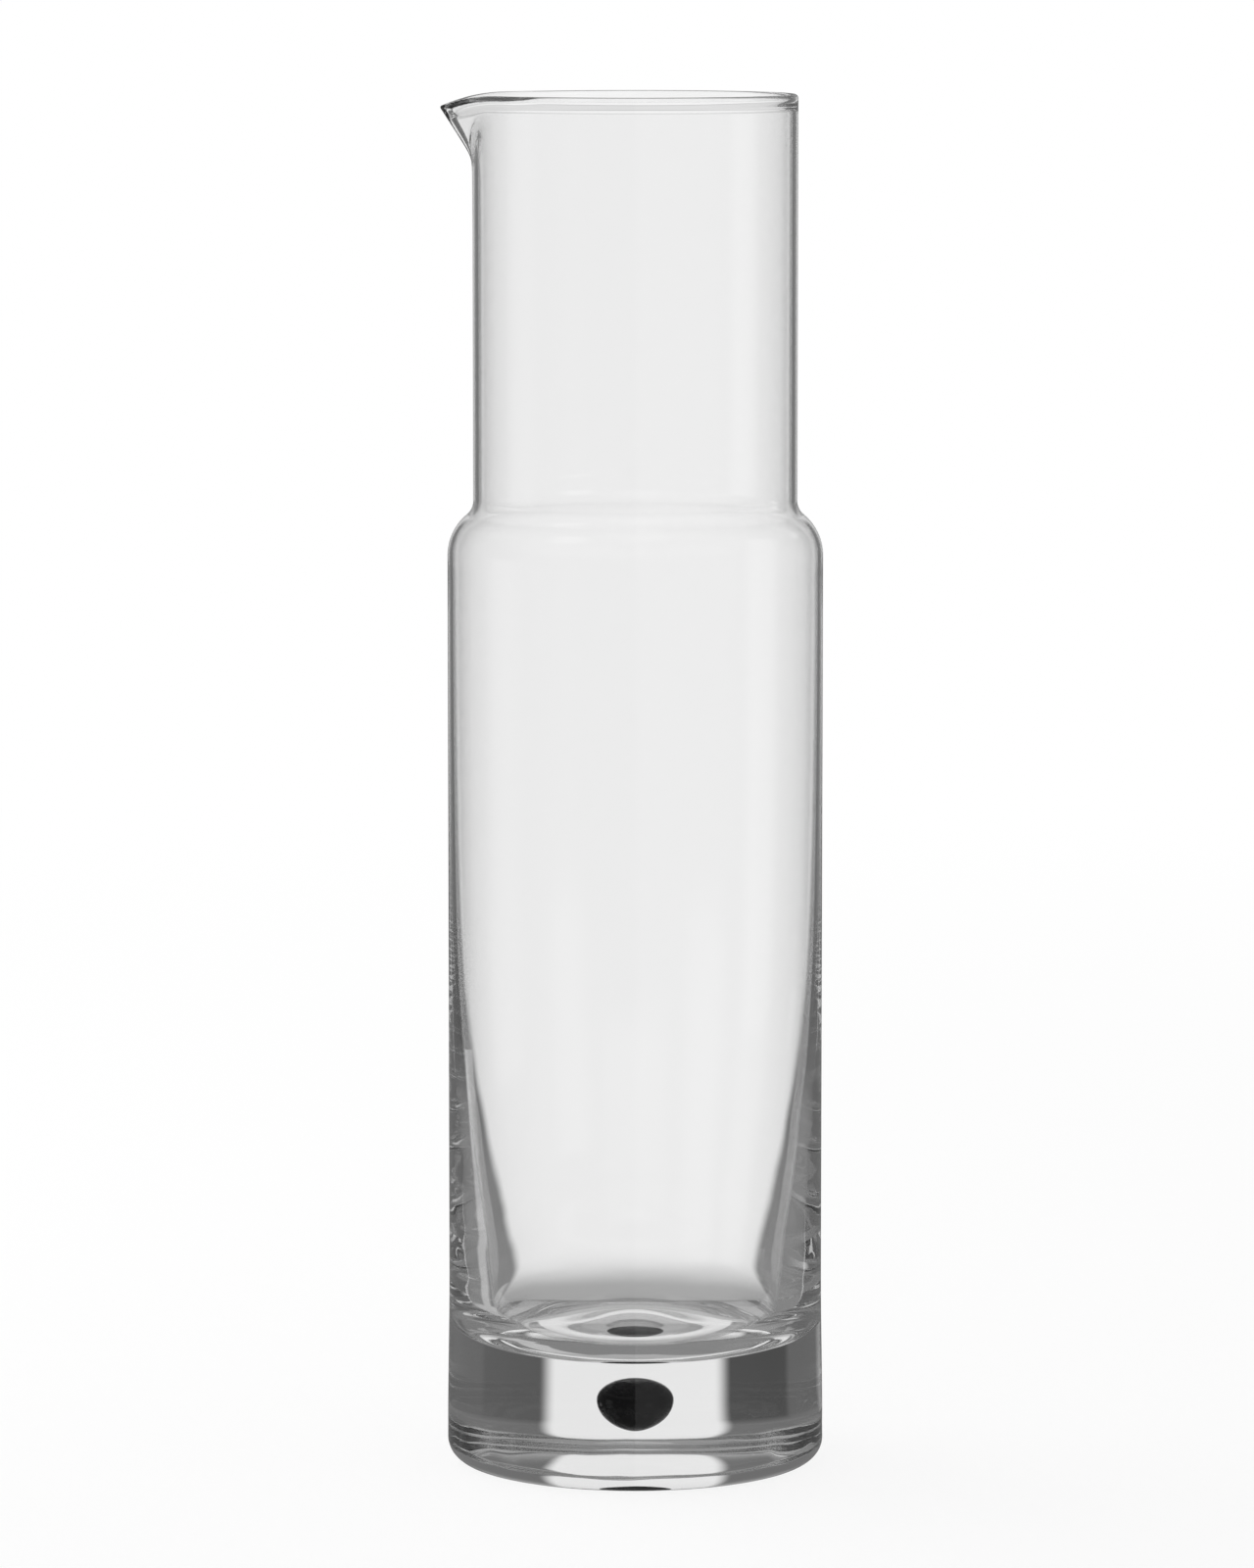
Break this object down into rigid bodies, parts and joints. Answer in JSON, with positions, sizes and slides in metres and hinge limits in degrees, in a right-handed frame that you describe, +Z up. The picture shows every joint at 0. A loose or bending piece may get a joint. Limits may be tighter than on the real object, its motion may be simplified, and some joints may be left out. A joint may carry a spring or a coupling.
{
  "type": "water carafe",
  "caption": "Clear glass water carafe with a stepped shoulder, a pulled pouring lip and a heavy solid base that cases a drop of black glass.",
  "frame": {"origin": "centre of the flat underside of the foot, on the carafe's axis", "axes": "+Z up along the axis to the mouth, -X towards the pouring lip"},
  "size_m": [0.0817, 0.0808, 0.2931],
  "materials": {
    "clear_glass": "clear colourless glass, fire-polished",
    "black_glass": "opaque black glass, smooth, cased in clear glass"
  },
  "bodies": {
    "root": {"vessel": "clear_glass", "black_drop": "black_glass"}
  },
  "joints": []
}
